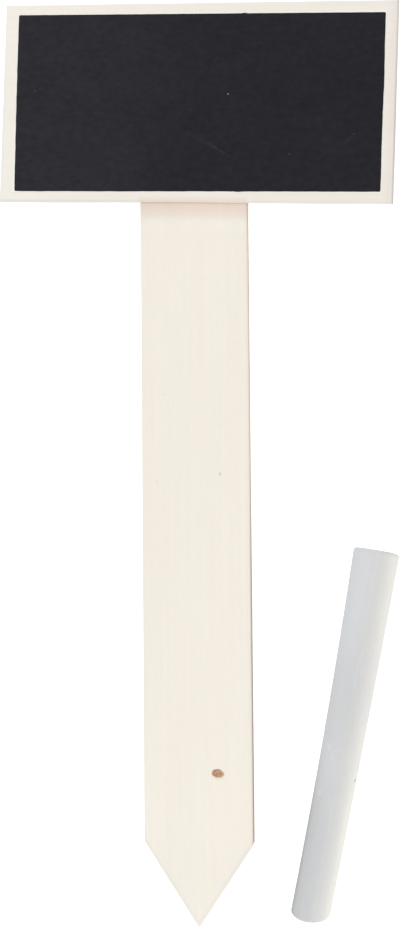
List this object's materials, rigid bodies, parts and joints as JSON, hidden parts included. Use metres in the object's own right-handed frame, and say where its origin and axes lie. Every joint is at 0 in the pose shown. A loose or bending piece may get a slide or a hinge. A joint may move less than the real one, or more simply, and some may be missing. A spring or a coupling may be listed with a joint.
{
  "type": "plant label stake",
  "caption": "Flat wooden plant label: a pointed plywood stake with a small black chalkboard glued across its top, and a loose stick of white chalk beside it.",
  "frame": {"origin": "on the stake's back face, on the stake's centreline, half-way between the tip and the middle of the board's top edge", "axes": "+Z out of the board's face, away from the surface that the label lies on; +Y up the stake from its tip to the board; +X to the right as the board is read"},
  "size_m": [0.0878, 0.2017, 0.0098],
  "materials": {
    "stake_veneer": "matte",
    "board_veneer": "matte",
    "core_veneer": "matte",
    "chalkboard_paint": "matte",
    "wood_glue": "satin",
    "chalk": "matte"
  },
  "bodies": {
    "label": {"stake_back_ply": "stake_veneer", "stake_core_ply": "core_veneer", "stake_face_ply": "stake_veneer", "board_back_ply": "board_veneer", "board_core_ply": "core_veneer", "board_face_ply": "board_veneer", "chalkboard_coat": "chalkboard_paint", "glue_film": "wood_glue"},
    "chalk": {"chalk_stick": "chalk"}
  },
  "joints": [
    {"name": "chalk_lift", "type": "slide", "parent": "label", "child": "chalk", "axis": [0, 0, 1], "range_m": [0, 0.06]}
  ]
}
